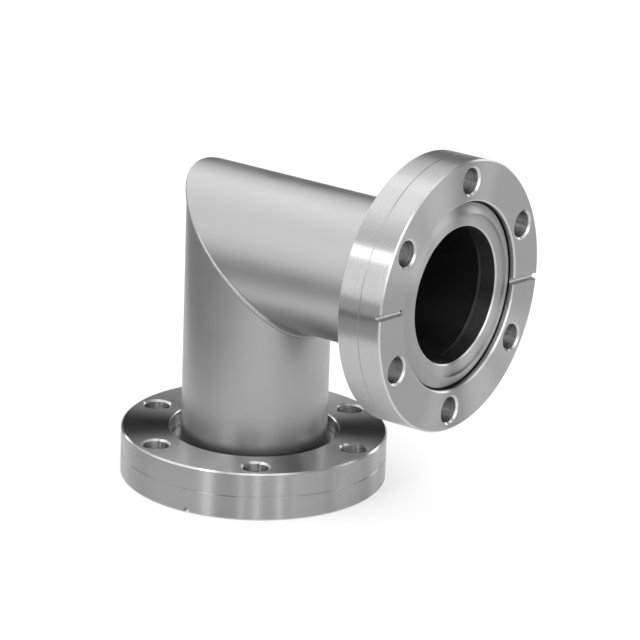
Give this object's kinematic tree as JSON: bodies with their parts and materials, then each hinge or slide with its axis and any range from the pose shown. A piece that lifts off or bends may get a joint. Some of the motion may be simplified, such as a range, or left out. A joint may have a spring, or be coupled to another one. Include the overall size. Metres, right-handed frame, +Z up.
{
  "type": "vacuum flange elbow",
  "caption": "Right-angle welded vacuum pipe elbow with a fixed knife-edge flange on the side port and a turning bolt ring on the lower port.",
  "frame": {"origin": "centre of the bolt ring's sealing face on the lower port, on the plane that the elbow stands on", "axes": "+Z up along the lower tube, +X along the side tube and out of the side port, +Y square to both"},
  "size_m": [0.0972, 0.0694, 0.0971],
  "materials": {
    "tube_steel": "fine satin, blasted",
    "flange_steel": "turned",
    "insert_steel": "turned",
    "ring_steel": "turned",
    "weld_steel": "as welded",
    "spring_steel": "rolled spring steel"
  },
  "bodies": {
    "welded_elbow": {"vertical_tube": "tube_steel", "horizontal_tube": "tube_steel", "mitre_weld": "weld_steel", "fixed_flange": "flange_steel", "fixed_flange_weld": "weld_steel", "flange_insert": "insert_steel", "insert_weld": "weld_steel"},
    "bolt_ring": {"rotatable_ring": "ring_steel", "snap_ring": "spring_steel"}
  },
  "joints": [
    {"name": "ring_turn", "type": "hinge", "parent": "welded_elbow", "child": "bolt_ring", "pos_m": [0, 0, 0.007], "axis": [0, 0, 1], "continuous": true}
  ]
}
